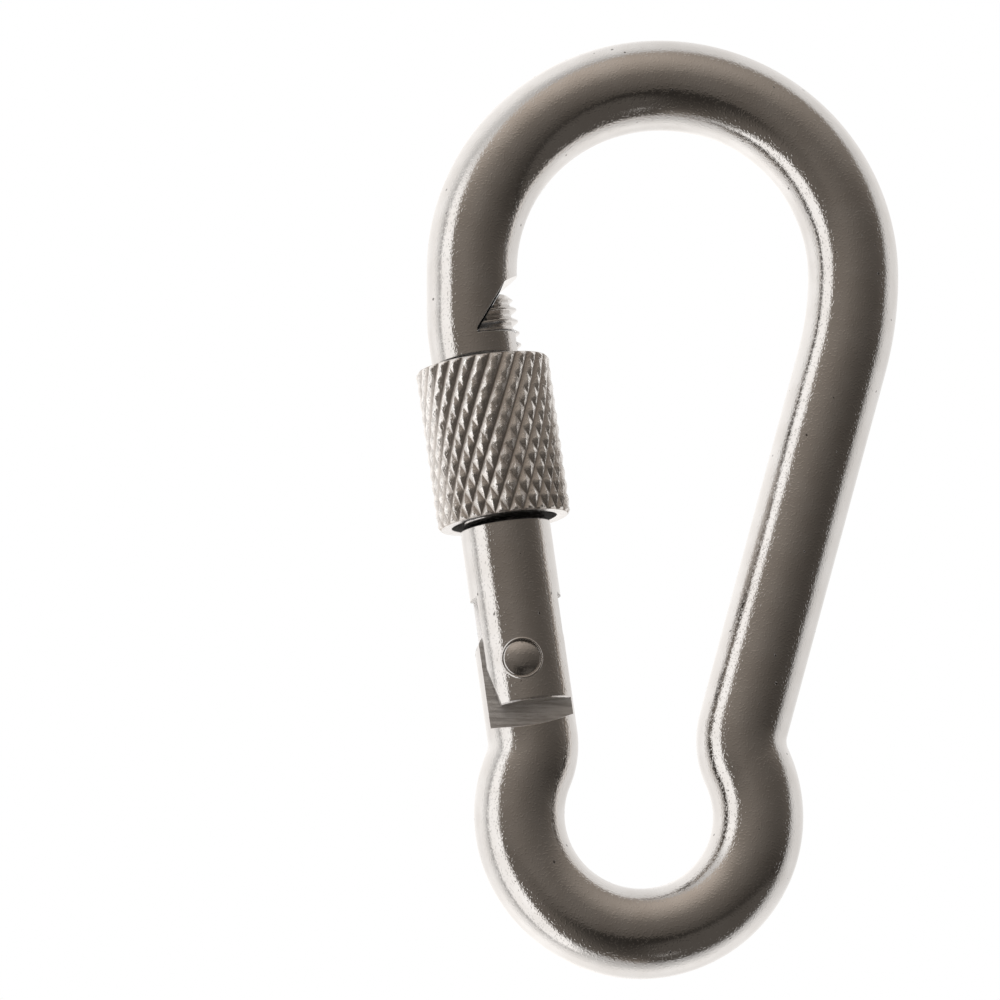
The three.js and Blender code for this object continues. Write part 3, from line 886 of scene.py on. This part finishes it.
def room_outline(graph, u, v, wave):
    """1 inside the room and 0 outside: an oval, cut off straight by the window's edge."""
    oval = wave
    for value, middle, half in ((u, 0.12, 0.60), (v, 0.06, 0.70)):
        part = graph.math("DIVIDE", graph.math("SUBTRACT", value, middle), half)
        oval = graph.math("MULTIPLY_ADD", part, part, oval)
    low = graph.math("MAXIMUM", graph.math("MULTIPLY", v, -1.0), 0.0)
    edge = graph.math("SUBTRACT", u, graph.math("MULTIPLY_ADD", low, 0.36, -0.46))
    return graph.math("MULTIPLY", graph.step(oval, 1.10, 0.90), graph.step(edge, -0.012, 0.012))


def dim_room(graph, u, v, wave):
    """The room's walls, with a small lamp low in it."""
    height = graph.node("MapRange", v, ROOM_LOW, ROOM_HIGH, 0.0, 1.0).outputs[0]
    walls = graph.node("ValToRGB", height)
    elements = walls.color_ramp.elements
    while len(elements) < len(ROOM_LEVELS):
        elements.new(0.5)
    for element, (at, level) in zip(elements, ROOM_LEVELS):
        element.position = (at - ROOM_LOW) / (ROOM_HIGH - ROOM_LOW)
        element.color = grey(level, 0.15)
    glow = graph.math("MULTIPLY", graph.step(u, -0.02, -0.28), graph.step(v, 0.1, -0.1))
    walls = graph.mix(glow, walls.outputs[0], grey(0.12, 0.15))
    side = graph.step(graph.math("MULTIPLY_ADD", wave, 1.5, u), -0.45, 0.50, 1.14, 0.48)
    side = graph.math("MULTIPLY", side, graph.step(u, 0.52, 0.70, 1.0, 1.35))
    corner = graph.math("MULTIPLY", graph.step(graph.math("SUBTRACT", u, v), 0.26, 0.42),
                        graph.step(v, -0.07, -0.20))
    corner = graph.math("MULTIPLY", corner, graph.step(u, 0.02, 0.14))
    walls = graph.mix(corner, graph.scaled(walls, side), grey(0.082, 0.13))

    du = graph.math("DIVIDE", graph.math("SUBTRACT", u, 0.17), 0.045)
    dv = graph.math("DIVIDE", graph.math("SUBTRACT", v, -0.485), 0.02)
    away = graph.math("ADD", graph.math("MULTIPLY", du, du), graph.math("MULTIPLY", dv, dv))
    return graph.mix(graph.step(away, 1.3, 0.2), walls, grey(0.42, 0.05))


def studio():
    """A white table behind the hook and a dim room in front of it. Only reflections see it: the
    camera sees plain white, and matt surfaces see an even light."""
    world = bpy.data.worlds.new("studio")
    world.use_nodes = True
    graph = Graph(world.node_tree)
    ray = graph.node("TexCoord").outputs["Generated"]
    u, v = mirror_slopes(graph, ray)
    wave = graph.math("MULTIPLY_ADD", noise(graph, ray, 2.2, 2), 0.10, -0.05)
    seen = graph.mix(room_outline(graph, u, v, wave), white_table(graph, ray, u, v),
                     dim_room(graph, u, v, wave))
    path = graph.node("LightPath")
    shown = graph.mix(path.outputs["Is Glossy Ray"], grey(1.0), seen)
    background = graph.node("Background", shown, 1.0)
    graph.node("OutputWorld", background.outputs[0])
    bpy.context.scene.world = world


def floor():
    """A pale floor under the hook that is seen from above only. It turns white with distance."""
    low = CAD_BOX[0][2] / MM - 0.15
    reach, rings, columns = 900.0, 24, 96
    radii = reach * (np.arange(1, rings + 1) / rings) ** 2
    points = np.concatenate([ring(radius, low, columns) for radius in radii])
    middle = tuple(range(columns))
    plane = mesh_object("floor", points, grid_faces(rings, columns) + [middle])
    for polygon in plane.data.polygons:
        if polygon.normal.z < 0:
            polygon.flip()
    material = bpy.data.materials.new("pale_floor")
    material.use_nodes = True
    graph = Graph(material.node_tree)
    place = place_in_mm(graph)
    mottle = noise(graph, place, 0.05, 4)
    matt = graph.node("BsdfDiffuse", graph.mix(mottle, grey(0.80, 0.01), grey(0.84, 0.01)))
    white = graph.node("Emission", grey(1.0))
    away = graph.node("VectorMath", place, operation="LENGTH").outputs["Value"]
    fade = graph.step(away, 90, 420)
    faded = graph.node("MixShader", fade, matt.outputs[0], white.outputs[0])
    clear = graph.node("BsdfTransparent")
    under = graph.node("MixShader", graph.node("NewGeometry").outputs["Backfacing"],
                       faded.outputs[0], clear.outputs[0])
    graph.node("OutputMaterial", under.outputs[0])
    plane.data.materials.clear()
    plane.data.materials.append(material)
    plane.visible_glossy = False


def softbox(name, place, size, power):
    """A round lamp at a place in metres, aimed at the hook."""
    light = bpy.data.lights.new(name, "AREA")
    light.shape, light.size, light.energy = "DISK", size, power
    lamp = bpy.data.objects.new(name, light)
    lamp.location = place
    lamp.rotation_euler = (-Vector(place)).to_track_quat("-Z", "Y").to_euler()
    lamp.visible_glossy = False
    bpy.context.scene.collection.objects.link(lamp)


def camera():
    """Looks from a little below and from the left, so far off that the view is almost flat."""
    data = bpy.data.cameras.new("camera")
    data.sensor_width = 36.0
    data.lens = data.sensor_width * CAMERA_FAR / VIEW_WIDTH
    data.clip_start, data.clip_end = 0.01, 10.0
    viewer = bpy.data.objects.new("camera", data)
    viewer.location = (RIGHT * AIM_RIGHT + UP * AIM_UP + BACK * CAMERA_FAR) * MM
    viewer.rotation_euler = (-BACK).to_track_quat("-Z", "Y").to_euler()
    bpy.context.scene.collection.objects.link(viewer)
    bpy.context.scene.camera = viewer


# ================================================================================================
# the hook
# ================================================================================================

def dress(obj, body, node, slot, *materials):
    """Gives a piece its materials, one for each kind of surface it has, and its body and node."""
    kinds = obj.data.materials
    for index, material in enumerate(materials):
        kinds[index] = material
    while len(kinds) > len(materials):
        kinds.pop()
    if body:
        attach(obj, body)
    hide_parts(node)


polished = steel("polished_steel", 0.74, 0.05, edge=0.09)
shank = steel("shank_steel", 0.74, 0.055, edge=0.14)
milled = steel("milled_steel", 0.86, 0.42, grain=0.01, edge=0.07, metallic=0.92,
               marks=(0.35, 0.35, 4.5))
# Painted shade: a near-black matt surface for the ring's notch, the slot between its prongs and its pin
# hole, standing in for the shade in the gaps round the gate's head.
notched = steel("notch_painted_shade", 0.09, 0.9, grain=0.02, edge=0, pits=False, metallic=0)
sawn = steel("sawn_steel", 0.80, 0.7, grain=0.004, edge=0, pits=False, metallic=0)
rim = steel("turned_rim", 0.86, 0.25, edge=0.04, pits=False)
# Painted shade: a dark, dull surface for the sleeve's bore and thread, standing in for the shade inside
# the sleeve.
dark = steel("sleeve_bore_painted_shade", 0.20, 0.5, grain=0.02, edge=0, pits=False, metallic=0.6)
# knurl=True paints shade into the knurl's grooves.
knurled = steel("knurled_steel", 0.94, 0.15, grain=0.012, edge=0.03, pits=False, knurl=True)
bright = steel("rivet_steel", 0.72, 0.07)
turned_steel = steel("turned_steel", 0.6, 0.28, pits=False, marks=(1.0, 1.0, 16.0))
wire = steel("spring_wire", 0.5, 0.3, edge=0, pits=False)

# The ring's cut faces (notch, nose slot, pin hole) take the painted gap shade.
dress(hook_ring(), "frame", "hook_frame", "polished_bar", polished, milled, notched)
dress(gate_arm(), "gate", "gate", "polished_gate", shank, milled, sawn)
dress(rivet(), "gate", "hinge_rivet", "rivet_steel", bright)
for bead_ring in collar():
    dress(bead_ring, "gate", "hinge_rivet", "polished_gate", polished)
# The sleeve's bore takes the painted shade, and its knurl's grooves are painted darker.
dress(locking_sleeve(), "sleeve", "lock_sleeve", "knurled_steel", knurled, rim, dark)
dress(plunger(), "plunger", "spring_plunger", "plunger_steel", turned_steel)
spring = coil()
dress(spring, None, "gate_spring", "spring_wire", wire)
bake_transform(spring)

studio()
floor()
softbox("key_light", (-0.22, -0.18, 0.34), 0.30, 2.2)
camera()
bpy.context.scene.view_settings.view_transform = "Standard"
